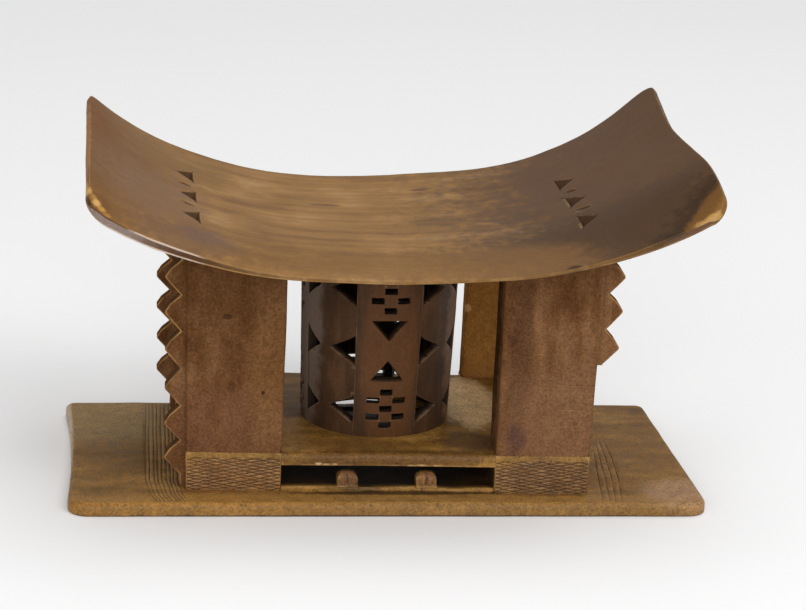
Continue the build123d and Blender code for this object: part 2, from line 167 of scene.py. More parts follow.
# Sills and knobs at the mouths of the slot
SILL_TOP = 16 * MM
SILL_WAVE = 1.3 * MM
SILL_WAVE_LENGTH = 34 * MM
KNOB_MIDDLES = (-31.5 * MM, 30.5 * MM)
KNOB_SURROUND = 8.8 * MM     # the sill's wave keeps this far from a knob's middle
KNOB_CELL = 1.5 * MM
KNOB_ROUNDING = 1.4 * MM
KNOB_NOTCH = 2.2 * MM        # half the notch's width
KNOB_NOTCH_DEPTH = 1.8 * MM
KNOB_NOTCH_FALL = 0.4        # share of its depth that a notch also takes off the knob's top
KNOB_LUMP = 0.45 * MM
KNOB_LUMP_LENGTH = 6 * MM
SLOT_ROOF = 36.5 * MM        # just above the ceiling of the slot under the deck
SLOT_FADE = 7 * MM           # the slot is painted dark, as shade, from this far behind its mouths
SLOT_SLACK = 1.5 * MM        # how far beyond its sides a point still counts as in the slot

# Scored lines: piece, then X and Z of both ends in millimetres
SCORES = {
    "front_right_leg": (((90, 126), (99, 125)), ((104, 126), (116, 127)), ((127, 102), (158, 100.5)),
                        ((133, 81.5), (162, 80))),
    "back_right_leg": (((86, 70), (98, 88)), ((89, 64), (101, 80))),
}
SCORE_WIDTH = 0.8 * MM
SCORE_DEPTH = 0.22 * MM
SCORE_DARKNESS = 0.3

# Sizes of the wood's patterns. Real pores and fibres are about 0.2 mm, and are drawn coarser to show at all
CLOUD = 48 * MM              # broad clouds of tone
SWAY = 5 * MM                # how far the grain sways with them
FIBRE = 1.3 * MM
MOTTLE = 9 * MM
PORE = 1.8 * MM
SPECK = 2.6 * MM
EDGE_PATCH = 16 * MM             # patches where an edge is lightened more or less, as wear and painted highlight
RELIEF = 0.2 * MM            # height of the fibres and the mottling
WEAR_AND_HIGHLIGHT_TURNS = (0.3, 0.5)      # turns in radians at which an edge starts to lighten, as wear and painted highlight, and is fully lightened
GRIME_AND_SHADE_TURNS = (-0.2, -0.7)   # the same for grime and painted shade in an inner corner


# ---------------------------------------------------------------- shaping

def merged(name):
    """A copy of a CAD node's mesh with its loose triangles merged into whole faces."""
    bm = bmesh.new()
    bm.from_mesh(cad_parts[name].data)
    bm.verts.layers.float.new("sunk")
    bmesh.ops.remove_doubles(bm, verts=bm.verts, dist=WELD)
    bmesh.ops.dissolve_limit(bm, angle_limit=FLAT_ANGLE, verts=bm.verts, edges=bm.edges)
    return bm


def surface(name):
    """A CAD node's surface, to measure from."""
    bm = merged(name)
    tree = BVHTree.FromBMesh(bm)
    bm.free()
    return tree


surfaces = {name: surface(name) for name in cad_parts}


def meets_another(name, point):
    """Whether another member touches this one at a point."""
    return any(tree.find_nearest(point, TOUCHING)[0] is not None
               for other, tree in surfaces.items() if other != name)


def sharp_edges(bm, name):
    """The sharp edges that no other member meets."""
    return [e for e in bm.edges if e.is_manifold and e.calc_face_angle(0) > SHARP_ANGLE
            and not meets_another(name, (e.verts[0].co + e.verts[1].co) / 2)]


def soften(bm, edges, width, segments=2):
    """Rounds some of the edges."""
    bmesh.ops.bevel(bm, geom=edges, offset=width, offset_type="OFFSET", affect="EDGES",
                    segments=segments, profile=0.5, material=-1, clamp_overlap=True, loop_slide=False)


def cut(bm, point, normal, faces=None):
    """One straight cut across the whole mesh, or across some of its faces. Returns the faces."""
    chosen = bm.faces[:] if faces is None else faces
    verts = {v for f in chosen for v in f.verts}
    edges = {e for f in chosen for e in f.edges}
    result = bmesh.ops.bisect_plane(bm, geom=[*verts, *edges, *chosen], plane_co=point, plane_no=normal,
                                    dist=ON_A_CUT)
    return [g for g in result["geom"] if isinstance(g, bmesh.types.BMFace)]


def slice_up(bm, axis, spacing):
    """Evenly spaced cuts across one axis."""
    places = [v.co.dot(axis) for v in bm.verts]
    low, high = min(places), max(places)
    count = max(1, round((high - low) / spacing))
    for i in range(1, count):
        cut(bm, axis * (low + (high - low) * i / count), axis)


def incise(bm, faces, points, up, width, depth, darkness=1.0):
    """A V groove along a run of points, cut into faces that look along up. Returns the faces."""
    half = width / 2
    for start, end in zip(points, points[1:]):
        along = (end - start).normalized()
        across = along.cross(up).normalized()
        length = (end - start).length
        near, rest = [], []
        for f in faces:
            touched = any(abs((v.co - start).dot(across)) < half + MEMBER_CELL
                          and -MEMBER_CELL < (v.co - start).dot(along) < length + MEMBER_CELL
                          for v in f.verts)
            (near if touched else rest).append(f)
        for shift in (-half, 0, half):
            near = cut(bm, start + across * shift, across, near)
        faces = rest + near
    sunk_layer = bm.verts.layers.float["sunk"]
    for v in {v for f in faces for v in f.verts}:
        share = -1
        for start, end in zip(points, points[1:]):
            span = end - start
            place = min(1, max(0, (v.co - start).dot(span) / span.length_squared))
            offset = v.co - start - span * place
            sunk = -offset.dot(up)
            share = max(share, 1 - (offset + up * sunk).length / half)
        if share > 0 and sunk < depth * share:
            v.co -= up * (depth * share - sunk)
        if share > -GROOVE_RIM:
            v[sunk_layer] = max(darkness * share, v[sunk_layer], RIM_DEPTH)
    return faces


def hand_cut(point):
    """Where a point of the true shape lies after carving by hand."""
    drift = noise.noise_vector(point / DRIFT_LENGTH) * DRIFT
    drift += noise.noise_vector(point / RIPPLE_LENGTH) * RIPPLE
    drift.z *= min(1, max(0, point.z / FOOT_HEIGHT))
    return point + drift


def carve(bm, node):
    """Lets the faces drift, and notes for the finish how sharp each edge is and where each face looks."""
    edge_turn = bm.verts.layers.float.new("edge_turn")
    facing = bm.verts.layers.float.new("facing")
    sunk = bm.verts.layers.float["sunk"]
    met = {v for v in bm.verts
           if any(e.calc_face_angle(0) > SHARP_ANGLE for e in v.link_edges if e.is_manifold)
           and meets_another(node, v.co)}
    for v in bm.verts:
        v.co = hand_cut(v.co)
    bm.normal_update()
    for v in bm.verts:
        turns = [e.calc_face_angle_signed(0) for e in v.link_edges if e.is_manifold]
        sharp = max(turns, key=abs, default=0)
        if v[sunk] > 0:
            sharp = min(max(sharp, 0), GROOVE_RIM_TURN)
        v[edge_turn] = 0 if v in met else sharp
        v[facing] = v.normal.z


def shade_slot(bm, node):
    """Notes which points lie behind the mouths of the slot under the deck, which the finish paints dark as
    shade.
    """
    sunk = bm.verts.layers.float["sunk"]
    left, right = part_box("left_plinth")[1].x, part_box("right_plinth")[0].x
    level = (SLOT_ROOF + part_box("deck")[1].z) / 2
    for v in bm.verts:
        on_knob = node.endswith("knobs") and v.co.z > SILL_TOP
        if v.co.z < SLOT_ROOF and left - SLOT_SLACK < v.co.x < right + SLOT_SLACK and not on_knob:
            x = min(max(v.co.x, left + SLOT_SLACK), right - SLOT_SLACK)
            front = surfaces["deck"].ray_cast(Vector((x, -FAR_OFF, level)), Y)[0].y
            back = surfaces["deck"].ray_cast(Vector((x, FAR_OFF, level)), -Y)[0].y
            depth = min(v.co.y - front, back - v.co.y)
            v[sunk] = max(v[sunk], min(1, depth / SLOT_FADE))


def set_down(name, bm, material, slot, node):
    """Makes the finished piece, hangs it under the root body and hides the CAD node that it takes the place
    of.
    """
    if slot == "base_wood":
        shade_slot(bm, node)
    carve(bm, node)
    mesh = bpy.data.meshes.new(name)
    bm.to_mesh(mesh)
    bm.free()
    mesh.shade_smooth()
    mesh.set_sharp_from_angle(angle=SHARP_ANGLE)
    mesh.materials.append(material)
    piece = bpy.data.objects.new(name, mesh)
    bpy.context.scene.collection.objects.link(piece)
    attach(piece, "root")
    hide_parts(node)


# ---------------------------------------------------------------- seat

def seat_height(x, y, from_above):
    """Height of the CAD seat's top or underside, passing straight over the marks."""
    for x0, x1 in MARK_BANDS:
        if from_above and x0 < x < x1:
            share = (x - x0) / (x1 - x0)
            return seat_height(x0, y, True) * (1 - share) + seat_height(x1, y, True) * share
    return seat_hit(x, y, from_above)[0].z


def seat_hit(x, y, from_above):
    """What a ray meets that falls on the CAD seat from above, or rises to it from the floor."""
    if from_above:
        return surfaces["seat"].ray_cast(Vector((x, y, FAR_OFF)), -Z)
    return surfaces["seat"].ray_cast(Vector((x, y, 0)), Z)


def seat_end(y, side, from_above):
    """How far the seat's top or underside reaches along X, found by halving."""
    inner, outer = side * SURELY_SEAT, side * 2 * SURELY_SEAT
    for _ in range(HALVINGS):
        middle = (inner + outer) / 2
        place, normal, _, _ = seat_hit(middle, y, from_above)
        on_board = place is not None and (not from_above or normal.x * side < 0)
        inner, outer = (middle, outer) if on_board else (inner, middle)
    return inner


def seat_reach(y, side, from_above, low, high):
    """The seat's end at a place in Y, carried straight on past the rounded corners."""
    first = low.y + SEAT_FRONT_CORNER + SEAT_CELL
    last = high.y - SEAT_BACK_CORNER - SEAT_CELL
    inside = min(max(y, first), last)
    if inside == y:
        return seat_end(y, side, from_above)
    further_in = inside + math.copysign(2 * SEAT_CELL, inside - y)
    here, there = seat_end(inside, side, from_above), seat_end(further_in, side, from_above)
    slope = (there - here) / (further_in - inside)
    return here + (y - inside) * slope


def chip(bm, corners, bottom, depth):
    """A chip cut down to one deepest point from the sides of a shape in plan."""
    sides = list(zip(corners, corners[1:] + corners[:1]))
    reach = max((c - bottom).length for c in corners) + SEAT_CELL
    faces = [f for f in bm.faces if f.normal.z > MOSTLY
             and (f.calc_center_median().xy - bottom.xy).length < reach]
    for a, b in sides:
        faces = cut(bm, a, (b - a).cross(Z).normalized(), faces)
        faces = cut(bm, a, (bottom - a).cross(Z).normalized(), faces)
    sunk = bm.verts.layers.float["sunk"]
    for v in {v for f in faces for v in f.verts}:
        share = min((v.co - a).dot((b - a).cross(Z)) / (bottom - a).dot((b - a).cross(Z)) for a, b in sides)
        if share > 0:
            v.co.z -= depth * share
            v[sunk] = min(1, PIT_DARKENING * share)


def carve_marks(bm):
    """The rows of chip-carved triangles and short bars across both ends of the seat."""
    for side, mark_x, start_y, step in MARK_ROWS:
        for i in range(MARK_COUNT):
            y = start_y - step * i
            corners = [Vector((mark_x, y - MARK_BASE / 2, 0)), Vector((mark_x, y + MARK_BASE / 2, 0)),
                       Vector((mark_x + side * MARK_LENGTH, y, 0))]
            chip(bm, corners, Vector((mark_x + side * MARK_LENGTH * MARK_BOTTOM, y, 0)), MARK_DEPTH)
        for i in range(MARK_COUNT - 1):
            y = start_y - step * (i + 0.5)
            middle = mark_x + side * MARK_LENGTH / 2
            ends = [Vector((x, y, seat_height(x, y, True)))
                    for x in (middle - BAR_LENGTH / 2, middle + BAR_LENGTH / 2)]
            up = (ends[1] - ends[0]).cross(Y).normalized()
            faces = [f for f in bm.faces if f.normal.z > MOSTLY
                     and (f.calc_center_median() - ends[0]).length < BAR_LENGTH + 2 * SEAT_CELL]
            incise(bm, faces, ends, up, BAR_WIDTH, BAR_DEPTH)


def rounded_board(low, high):
    """A flat board as long and as wide as the seat, with rounded corners and rims."""
    bm = bmesh.new()
    bm.verts.layers.float.new("sunk")
    bmesh.ops.create_cube(bm, size=1)
    bmesh.ops.scale(bm, vec=(high.x - low.x, high.y - low.y, SEAT_BOARD), verts=bm.verts)
    bmesh.ops.translate(bm, vec=(0, (high.y + low.y) / 2, SEAT_BOARD / 2), verts=bm.verts)
    for side, in_front, radius in SEAT_CORNERS:
        uprights = [e for e in bm.edges if abs((e.verts[0].co - e.verts[1].co).z) > SEAT_BOARD / 2
                    and (e.verts[0].co.y < 0) == in_front and e.verts[0].co.x * side > 0
                    and e.calc_face_angle(0) > SQUARE_ANGLE]
        soften(bm, uprights, radius, segments=CORNER_SEGMENTS)
    for radius, above in ((SEAT_RIM_ABOVE, True), (SEAT_RIM_BELOW, False)):
        rim = [e for e in bm.edges if e.calc_face_angle(0) > SQUARE_ANGLE
               and (e.verts[0].co.z > SEAT_BOARD / 2) == above]
        soften(bm, rim, radius, segments=RIM_SEGMENTS)
    slice_up(bm, X, SEAT_CELL)
    slice_up(bm, Y, SEAT_CELL)
    return bm


def curved_seat(material):
    """The board bent to the CAD seat's top and underside. Its ends are found once for each place in Y."""
    low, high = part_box("seat")
    half_length = (high.x - low.x) / 2
    bm = rounded_board(low, high)
    reaches = {}
    for v in bm.verts:
        y = v.co.y
        key = round(y / MM, 3)
        if key not in reaches:
            level = min(max(y, low.y + SEAT_INSET), high.y - SEAT_INSET)
            reaches[key] = level, {
                (side, above): (seat_reach(level, side, above, low, high), seat_end(level, side, above))
                for side in (-1, 1) for above in (False, True)}
        level, ends = reaches[key]
        share = (v.co.x / half_length + 1) / 2
        points = []
        for above in (False, True):
            left, right = ends[-1, above], ends[1, above]
            x = left[0] + (right[0] - left[0]) * share
            read_x = min(max(x, left[1] + SEAT_INSET), right[1] - SEAT_INSET)
            points.append(Vector((x, y, seat_height(read_x, level, above))))
        v.co = points[0].lerp(points[1], v.co.z / SEAT_BOARD)
    carve_marks(bm)
    set_down("curved_seat", bm, material, "seat_wood", "seat")


# ---------------------------------------------------------------- column

def column_axis():
    """The middle of the column in plan."""
    left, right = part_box("column_left_band")[0].x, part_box("column_right_band")[1].x
    front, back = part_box("column_front_band")[0].y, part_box("column_back_band")[1].y
    return Vector(((left + right) / 2, (front + back) / 2, 0))


def pierced_piece(name, material):
    """A stretch of the column's wall: laid flat to soften and slice it, then bent round again.
    All but its outer face is noted as sunk, so that the finish paints it dark as shade and soot."""
    axis = column_axis()
    bm = merged(name)
    edges = sharp_edges(bm, name)
    low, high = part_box(name)
    middle = (low + high) / 2 - axis
    turn = math.atan2(middle.x, -middle.y)
    radius = max((v.co - axis).xy.length for v in bm.verts)
    for v in bm.verts:
        local = Matrix.Rotation(-turn, 3, "Z") @ (v.co - axis)
        v.co = Vector((math.atan2(local.x, -local.y) * radius, -local.xy.length, local.z))
    soften(bm, edges, PIERCED_ROUNDING)
    bm.normal_update()
    sunk = bm.verts.layers.float["sunk"]
    for v in bm.verts:
        v[sunk] = 0 if any(f.normal.y < -MOSTLY for f in v.link_faces) else 1
    slice_up(bm, X, COLUMN_CELL)
    slice_up(bm, Z, COLUMN_CELL)
    for v in bm.verts:
        angle = v.co.x / radius
        local = Vector((-v.co.y * math.sin(angle), v.co.y * math.cos(angle), v.co.z))
        v.co = Matrix.Rotation(turn, 3, "Z") @ local + axis
    set_down("carved_" + name, bm, material, "column_wood", name)


# ---------------------------------------------------------------- legs, fins and body

def front_plane(bm):
    """The normal and a point of the widest plane that looks to the front, and the faces in it."""
    bm.normal_update()
    front = max(bm.faces, key=lambda f: -f.normal.y * f.calc_area())
    up = front.normal.copy()
    return up, front.calc_center_median(), [f for f in bm.faces if f.normal.dot(up) > SAME_PLANE]


def member(name, material, slot, rounding, cell=MEMBER_CELL):
    """A straight member: the CAD shape with softened edges, scored lines and faces that can drift."""
    bm = merged(name)
    soften(bm, sharp_edges(bm, name), rounding)
    for axis in (X, Y, Z):
        slice_up(bm, axis, cell)
    if name in SCORES:
        up, anchor, faces = front_plane(bm)
        for line in SCORES[name]:
            points = [Vector((x * MM, 0, z * MM)) for x, z in line]
            points = [p - Y * ((p - anchor).dot(up) / up.y) for p in points]
            faces = incise(bm, faces, points, up, SCORE_WIDTH, SCORE_DEPTH, SCORE_DARKNESS)
    set_down("carved_" + name, bm, material, slot, name)


def slot_knobs(name, material):
    """The sill of the slot, its top worn wavy, with two lumpy knobs, each notched down its outer face."""
    bm = merged(name)
    soften(bm, sharp_edges(bm, name), KNOB_ROUNDING)
    for axis in (X, Y, Z):
        slice_up(bm, axis, KNOB_CELL)
    outward = -1 if name.startswith("front") else 1
    low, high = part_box(name)
    mouth = low.y if outward < 0 else high.y
    middle = (low.y + high.y) / 2
    for v in bm.verts:
        if v.co.z > SILL_TOP:
            lump = noise.noise_vector(v.co / KNOB_LUMP_LENGTH) * KNOB_LUMP
            lump.z = min(lump.z, 0)
            across = min(abs(v.co.x - x) for x in KNOB_MIDDLES)
            nearness = max(0, (v.co.y - middle) / (mouth - middle))
            notch = KNOB_NOTCH_DEPTH * max(0, 1 - across / KNOB_NOTCH) * nearness
            v.co += lump
            v.co.y -= outward * notch
            v.co.z -= notch * KNOB_NOTCH_FALL
        elif v.co.z > low.z + SILL_WAVE and all(abs(v.co.x - x) > KNOB_SURROUND for x in KNOB_MIDDLES):
            v.co.z += SILL_WAVE * noise.noise(Vector((v.co.x / SILL_WAVE_LENGTH, 0, 0)))
    set_down("carved_" + name, bm, material, "base_wood", name)


def net_grooves(width, bottom, top):
    """The net's grooves. Each is a list of points: the place along the plinth's front and the height."""
    rise = width * NET_SLOPE
    count = int((top - bottom + rise) / NET_PITCH)
    for slope in (NET_SLOPE, -NET_SLOPE):
        first = bottom - (rise if slope > 0 else 0)
        for i in range(count):
            z = first + NET_PITCH * (i + 0.5)
            enters, leaves = (bottom, top) if slope > 0 else (top, bottom)
            begin, finish = max(0, (enters - z) / slope), min(width, (leaves - z) / slope)
            if finish - begin < NET_PITCH:
                continue
            groove = []
            for bend in range(NET_BENDS + 1):
                place = begin + (finish - begin) * bend / NET_BENDS
                spot = Vector((place / NET_WANDER_LENGTH, z / NET_PITCH, slope * NET_APART))
                height = z + slope * place + NET_WANDER * noise.noise(spot)
                groove.append((place, min(max(height, bottom), top)))
            yield groove


def plinth(name, material):
    """A plinth block with a net of crossing grooves on its front."""
    low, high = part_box(name)
    bm = merged(name)
    for axis in (X, Y, Z):
        slice_up(bm, axis, MEMBER_CELL)
    up, anchor, faces = front_plane(bm)
    along = up.cross(Z)
    along *= 1 if along.x > 0 else -1
    left = anchor + along * (low.x - anchor.x) / along.x
    for groove in net_grooves((high.x - low.x) / along.x, low.z, high.z - NET_TOP_MARGIN):
        points = [left + along * place + Z * (height - left.z) for place, height in groove]
        faces = incise(bm, faces, points, up, NET_WIDTH, NET_DEPTH, NET_DARKNESS)
    set_down("carved_" + name, bm, material, "base_wood", name)


def plate_lines():
    """The incised lines' points in X and Y. Those at the left are spread evenly, but each strays a little."""
    lines = []
    for i in range(LEFT_LINES):
        share = i / (LEFT_LINES - 1)
        line = []
        for x0, x1, y in LEFT_LINES_RUN:
            spot = Vector((i * LINE_APART, y / LINE_SPREAD_LENGTH, 0))
            line.append((x0 + (x1 - x0) * share + LINE_SPREAD * noise.noise(spot), y))
        lines.append(line)
    return [*lines, *RIGHT_LINES]


def base_plate(material):
    """The plate with its top rim worn round and its incised lines beside the legs."""
    bm = merged("base_plate")
    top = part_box("base_plate")[1].z
    rim = [e for e in sharp_edges(bm, "base_plate") if min(v.co.z for v in e.verts) > top - TOUCHING]
    soften(bm, rim, PLATE_ROUNDING, segments=PLATE_SEGMENTS)
    for axis in (X, Y):
        slice_up(bm, axis, MEMBER_CELL)
    bm.normal_update()
    faces = [f for f in bm.faces if f.normal.z > LEVEL]
    for line in plate_lines():
        points = [Vector((x * MM, y * MM, top)) for x, y in line]
        faces = incise(bm, faces, points, Z, LINE_WIDTH, LINE_DEPTH, LINE_DARKNESS)
    set_down("carved_base_plate", bm, material, "base_wood", "base_plate")


# ---------------------------------------------------------------- finish

def linear(hex_colour):
    """An sRGB hex colour as a linear RGBA value."""
    parts = [int(hex_colour[i:i + 2], 16) / 255 for i in (1, 3, 5)]
    return tuple(c / 12.92 if c <= 0.04045 else ((c + 0.055) / 1.055) ** 2.4 for c in parts) + (1,)


def add(tree, kind, inputs=None, stops=None, **settings):
    """Adds a shader node with its settings, its values and links, and a ramp's stops."""
    node = tree.nodes.new("ShaderNode" + kind)
    for key, value in settings.items():
        setattr(node, key, value)
    for key, value in (inputs or {}).items():
        if isinstance(value, bpy.types.NodeSocket):
            tree.links.new(value, node.inputs[key])
        else:
            node.inputs[key].default_value = value
    for place, (position, colour) in enumerate(stops or ()):
        elements = node.color_ramp.elements
        element = elements[place] if place < 2 else elements.new(position)
        element.position, element.color = position, colour
    return node


def stained_and_lit(tree, place, mottle, colour, stains_and_painted_light):
    """Lays stains, painted light and painted shade over a colour, one for each row of a table. The softer one
    is, the more ragged it is.
    """
    ragged = add(tree, "MapRange", {"Value": mottle, "To Min": -0.5, "To Max": 0.5}).outputs[0]
    facing = add(tree, "Attribute", attribute_name="facing").outputs["Fac"]
    for middle, reach, tone, strength, softness, *looks in stains_and_painted_light:
        local = add(tree, "Mapping", {"Vector": place, "Scale": [1 / (r * MM) for r in reach],
                                      "Location": [-m / r for m, r in zip(middle, reach)]})
        distance = add(tree, "VectorMath", {0: local.outputs[0]}, operation="LENGTH").outputs["Value"]
        distance = add(tree, "Math", {0: ragged, 1: min(1, 2 * softness), 2: distance},
                       operation="MULTIPLY_ADD").outputs[0]
        share = add(tree, "MapRange", {"Value": distance, "From Min": 1 + softness / 2,
                                       "From Max": 1 - softness / 2, "To Max": strength},
                    interpolation_type="SMOOTHSTEP").outputs[0]
        for low, high in looks:
            window = add(tree, "Math", {0: facing, 1: (low + high) / 2, 2: (high - low) / 2},
                         operation="COMPARE").outputs[0]
            share = add(tree, "Math", {0: share, 1: window}, operation="MULTIPLY").outputs[0]
        colour = add(tree, "Mix", {0: share, 6: colour, 7: linear(tone)}, data_type="RGBA").outputs[2]
    return colour


def weathered(tree, place, colour, wear_and_highlight_tone, edge_wear_and_highlight, grime_and_shade, full_depth):
    """Lightens the outer edges in patches, as wear and painted highlight, and darkens inner corners and what
    is sunk or hidden, as grime and painted shade.
    """
    edge_turn = add(tree, "Attribute", attribute_name="edge_turn").outputs["Fac"]
    edge_patches = add(tree, "TexNoise", {"Vector": place, "Scale": 1 / EDGE_PATCH, "Detail": 3, "Roughness": 0.6})
    patchy = add(tree, "MapRange", {"Value": edge_patches.outputs["Fac"], "From Min": 0.4, "From Max": 0.56,
                                    "To Min": 0.25 * edge_wear_and_highlight, "To Max": edge_wear_and_highlight}).outputs[0]
    edge = add(tree, "MapRange", {"Value": edge_turn, "From Min": WEAR_AND_HIGHLIGHT_TURNS[0],
                                  "From Max": WEAR_AND_HIGHLIGHT_TURNS[1]}).outputs[0]
    edge = add(tree, "Math", {0: edge, 1: patchy}, operation="MULTIPLY").outputs[0]
    colour = add(tree, "Mix", {0: edge, 6: colour, 7: linear(wear_and_highlight_tone)}, data_type="RGBA").outputs[2]
    hollow = add(tree, "MapRange", {"Value": edge_turn, "From Min": GRIME_AND_SHADE_TURNS[0], "From Max": GRIME_AND_SHADE_TURNS[1],
                                    "To Max": 0.9}).outputs[0]
    sunk = add(tree, "Attribute", attribute_name="sunk").outputs["Fac"]
    sunk = add(tree, "MapRange", {"Value": sunk, "From Min": 0.03, "From Max": full_depth,
                                  "To Max": 0.88}).outputs[0]
    hollow = add(tree, "Math", {0: hollow, 1: sunk}, operation="MAXIMUM").outputs[0]
    return add(tree, "Mix", {0: hollow, 6: colour, 7: linear(grime_and_shade)}, data_type="RGBA").outputs[2]


def oiled_wood(name, grain, tones, wear_and_highlight_tone, grime_and_shade, roughness, gloss, band, streak, fibre, mottling, pitted,
               edge_wear_and_highlight, full_depth, stains_and_painted_light, specks=0.0):
    """Hand-carved hardwood darkened by oil and smoke. The eye sees soft bands of tone, fine fibres, light
    edges of wear and painted highlight, hollows dark with grime and painted shade, and a low sheen. The grain
    runs along X or Z, its bands are so many millimetres wide, and the less streak is, the longer they are.
    fibre, mottling and pitted are swings of brightness, specks is the strength of the dirt dots, and
    full_depth the noted depth at which grime and painted shade are thickest."""
    material = bpy.data.materials.new(name)
    material.use_nodes = True
    tree = material.node_tree
    tree.nodes.clear()
    place = add(tree, "TexCoord").outputs["Object"]
    clouds = add(tree, "TexNoise", {"Vector": place, "Scale": 1 / CLOUD, "Detail": 3, "Roughness": 0.5})
    swayed = add(tree, "VectorMath", {0: clouds.outputs["Color"], 1: (SWAY,) * 3, 2: place},
                 operation="MULTIPLY_ADD").outputs[0]
    along = {"X": (streak, 1, 1), "Z": (1, 1, streak)}[grain]
    stretched = add(tree, "Mapping", {"Vector": swayed, "Scale": along}).outputs[0]
    bands = add(tree, "TexNoise", {"Vector": stretched, "Scale": 1 / (band * MM), "Detail": 3,
                                   "Roughness": 0.5}).outputs["Fac"]
    fibres = add(tree, "TexNoise", {"Vector": stretched, "Scale": 1 / FIBRE, "Detail": 2,
                                    "Roughness": 0.6}).outputs["Fac"]
    mottle = add(tree, "TexNoise", {"Vector": place, "Scale": 1 / MOTTLE, "Detail": 4,
                                    "Roughness": 0.6}).outputs["Fac"]
    pores = add(tree, "TexNoise", {"Vector": place, "Scale": 1 / PORE, "Detail": 2,
                                   "Roughness": 0.7}).outputs["Fac"]
    tone = add(tree, "Mix", {0: 0.45, 2: bands, 3: clouds.outputs["Fac"]}).outputs[0]
    shades = [(0.36 + 0.09 * i, linear(shade)) for i, shade in enumerate(tones)]
    colour = add(tree, "ValToRGB", {"Fac": tone}, stops=shades).outputs[0]
    colour = stained_and_lit(tree, place, mottle, colour, stains_and_painted_light)
    for pattern, swing in ((fibres, fibre), (mottle, mottling), (pores, pitted)):
        shade = add(tree, "MapRange", {"Value": pattern, "From Min": 0.3, "From Max": 0.7,
                                       "To Min": 1 - swing, "To Max": 1 + swing}).outputs[0]
        colour = add(tree, "VectorMath", {0: colour, "Scale": shade}, operation="SCALE").outputs[0]
    dots = add(tree, "TexNoise", {"Vector": place, "Scale": 1 / SPECK, "Detail": 2, "Roughness": 0.6})
    dots = add(tree, "MapRange", {"Value": dots.outputs["Fac"], "From Min": 0.36, "From Max": 0.3,
                                  "To Max": specks}).outputs[0]
    colour = add(tree, "Mix", {0: dots, 6: colour, 7: linear(grime_and_shade)}, data_type="RGBA").outputs[2]
    colour = weathered(tree, place, colour, wear_and_highlight_tone, edge_wear_and_highlight, grime_and_shade, full_depth)
    rough = add(tree, "MapRange", {"Value": mottle, "From Min": 0.3, "From Max": 0.7,
                                   "To Min": roughness - 0.06, "To Max": roughness + 0.08}).outputs[0]
    relief = add(tree, "Math", {0: fibres, 1: mottle}, operation="ADD").outputs[0]
    bump = add(tree, "Bump", {"Height": relief, "Strength": 0.3, "Distance": RELIEF}).outputs[0]
    shader = add(tree, "BsdfPrincipled", {"Base Color": colour, "Roughness": rough, "Normal": bump,
                                          "IOR": 1.5, "Specular IOR Level": gloss})
    add(tree, "OutputMaterial", {"Surface": shader.outputs[0]})
    return material


# ---------------------------------------------------------------- the stool

